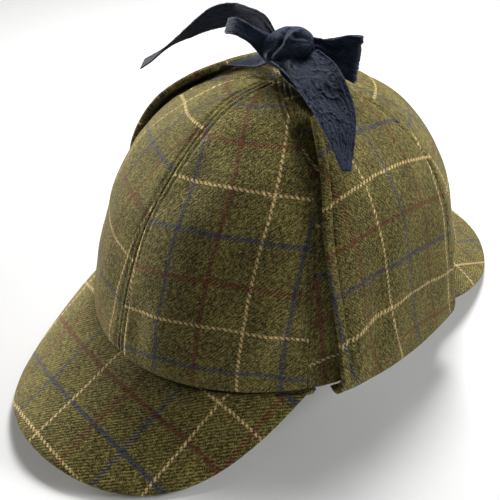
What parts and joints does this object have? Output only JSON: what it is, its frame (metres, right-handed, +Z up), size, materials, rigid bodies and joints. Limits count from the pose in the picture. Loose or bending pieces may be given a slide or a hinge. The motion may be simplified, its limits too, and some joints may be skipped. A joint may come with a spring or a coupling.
{
  "type": "deerstalker hat",
  "caption": "Tweed deerstalker hat with a gored crown, a peak in front and behind, and ear flaps folded up and tied on top with a ribbon bow.",
  "frame": {"origin": "middle of the hat's bounding box, on the surface it rests on", "axes": "+Z up, front peak towards -Y, wearer's left towards +X"},
  "size_m": [0.1904, 0.316, 0.1756],
  "materials": {
    "tweed": "olive wool tweed with a blue, red and cream windowpane check",
    "crepe_ribbon": "dark navy crinkled crepe, matt with a faint sheen"
  },
  "bodies": {
    "root": {"crown_panel_front_left": "tweed", "crown_panel_side_left": "tweed", "crown_panel_rear_left": "tweed", "crown_panel_rear_right": "tweed", "crown_panel_side_right": "tweed", "crown_panel_front_right": "tweed", "front_peak": "tweed", "rear_peak": "tweed", "ear_flap_left": "tweed", "ear_flap_right": "tweed", "ribbon_tie_left": "crepe_ribbon", "ribbon_tie_right": "crepe_ribbon", "ribbon_knot": "crepe_ribbon", "bow_loop_left": "crepe_ribbon", "bow_loop_right": "crepe_ribbon", "ribbon_tail_front": "crepe_ribbon", "ribbon_tail_left": "crepe_ribbon"}
  },
  "joints": []
}
